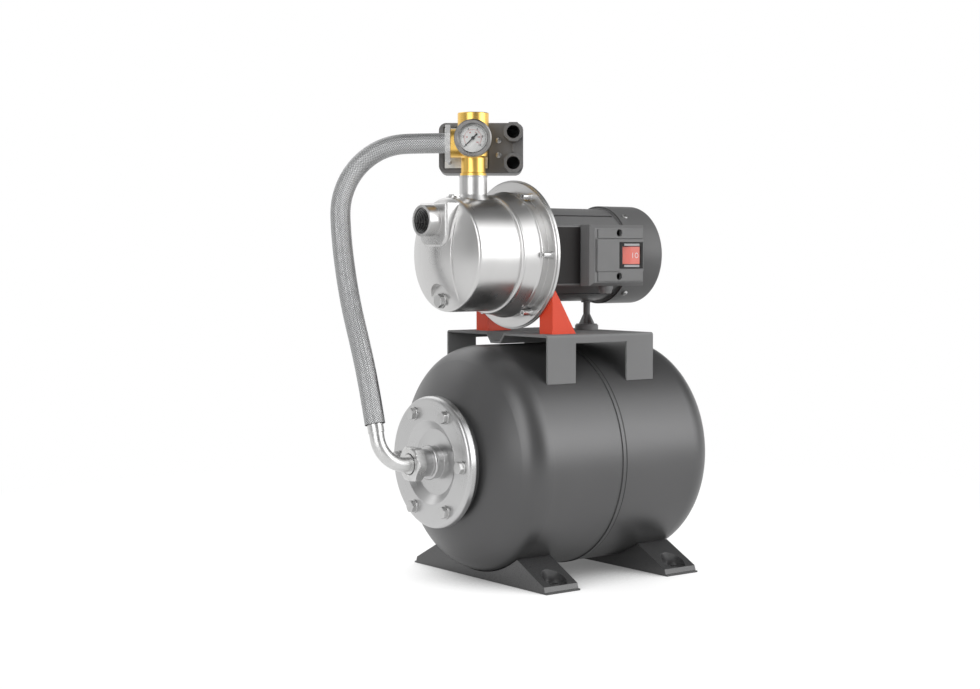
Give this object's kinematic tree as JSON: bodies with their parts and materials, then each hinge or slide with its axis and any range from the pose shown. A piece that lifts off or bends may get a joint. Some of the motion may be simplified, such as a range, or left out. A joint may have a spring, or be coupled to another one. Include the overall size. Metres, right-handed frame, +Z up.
{
  "type": "booster pump set",
  "caption": "Jet pump and motor on a bracket over a small lying pressure tank, with brass manifold, gauge, pressure switch and a braided hose down to the tank's flange.",
  "frame": {"origin": "on the floor below the middle of the tank", "axes": "+X along pump and tank, from the suction port to the fan; -Y is the side with the mains switch; +Z up"},
  "size_m": [0.4657, 0.2723, 0.553],
  "materials": {
    "tank_paint": "satin dark grey powder coat",
    "bracket_paint": "satin dark grey powder coat",
    "flange_steel": "satin zinc-plated steel",
    "membrane_rubber": "matt rubber",
    "bolt_steel": "zinc-plated steel",
    "valve_brass": "plated brass",
    "valve_cap_plastic": "moulded black",
    "nut_steel": "nickel-plated",
    "elbow_steel": "polished stainless steel",
    "hose_braid": "stainless braid over rubber",
    "casing_steel": "satin stainless steel",
    "adapter_steel": "satin stainless steel",
    "plug_steel": "bright steel",
    "inner_plastic": "moulded glass-filled plastic",
    "impeller_plastic": "moulded glass-filled plastic",
    "seal_ceramic": "ground",
    "seal_steel": "turned steel",
    "leg_paint": "satin red powder coat",
    "motor_paint": "satin black",
    "fan_cover_paint": "satin black",
    "core_steel": "stacked sheets",
    "winding_copper": "varnished copper wire",
    "shaft_steel": "ground steel",
    "fan_plastic": "moulded black",
    "plate_foil": "blank dark foil",
    "box_plastic": "moulded black",
    "capacitor_plastic": "moulded white",
    "bezel_plastic": "moulded black",
    "rocker_plastic": "moulded red",
    "manifold_brass": "bright brass",
    "gauge_steel": "polished steel",
    "dial_face": "white enamel",
    "needle_black": "matt black",
    "gauge_glass": "clear",
    "switch_plastic": "moulded dark grey",
    "switch_zinc": "zinc-plated steel"
  },
  "bodies": {
    "frame": {"tank_shell": "tank_paint", "foot_front": "tank_paint", "foot_rear": "tank_paint", "pump_bracket": "bracket_paint", "tank_flange": "flange_steel", "membrane": "membrane_rubber", "casing_seal": "membrane_rubber", "flange_bolts": "bolt_steel", "casing_screws": "bolt_steel", "bracket_bolts": "bolt_steel", "cover_screws": "bolt_steel", "terminal_screws": "bolt_steel", "switch_screws": "bolt_steel", "air_valve": "valve_brass", "valve_cap": "valve_cap_plastic", "elbow_nut": "nut_steel", "hose_nut": "nut_steel", "elbow_pipe": "elbow_steel", "elbow_sleeve": "elbow_steel", "braided_hose": "hose_braid", "pump_casing": "casing_steel", "adapter_plate": "adapter_steel", "drain_plug": "plug_steel", "priming_plug": "plug_steel", "ejector": "inner_plastic", "diffuser": "inner_plastic", "seal_seat": "seal_ceramic", "leg_left": "leg_paint", "leg_right": "leg_paint", "motor_housing": "motor_paint", "end_shield_front": "motor_paint", "end_shield_rear": "motor_paint", "motor_foot": "motor_paint", "fan_cover": "fan_cover_paint", "stator_core": "core_steel", "stator_windings": "winding_copper", "bearings": "shaft_steel", "nameplate": "plate_foil", "terminal_box_base": "box_plastic", "terminal_box_cover": "box_plastic", "cable_gland": "box_plastic", "capacitor": "capacitor_plastic", "switch_bezel": "bezel_plastic", "manifold": "manifold_brass", "gauge_socket": "manifold_brass", "gauge_case": "gauge_steel", "gauge_dial": "dial_face", "gauge_lens": "gauge_glass", "switch_base": "switch_plastic", "switch_cover": "switch_plastic", "switch_glands": "switch_plastic", "switch_plate": "switch_zinc"},
    "rotor_group": {"motor_shaft": "shaft_steel", "rotor": "core_steel", "impeller": "impeller_plastic", "seal_head": "seal_steel", "cooling_fan": "fan_plastic"},
    "rocker": {"rocker": "rocker_plastic"},
    "needle": {"gauge_needle": "needle_black"}
  },
  "joints": [
    {"name": "motor_spin", "type": "hinge", "parent": "frame", "child": "rotor_group", "pos_m": [0, 0, 0.3861], "axis": [1, 0, 0], "continuous": true},
    {"name": "rocker_tilt", "type": "hinge", "parent": "frame", "child": "rocker", "pos_m": [0.0472, -0.084, 0.3855], "axis": [0, 0, 1], "range_deg": [0, 16]},
    {"name": "needle_turn", "type": "hinge", "parent": "frame", "child": "needle", "pos_m": [-0.124, 0, 0.5206], "axis": [0.6036, 0.7973, 0], "range_deg": [0, 270]}
  ]
}
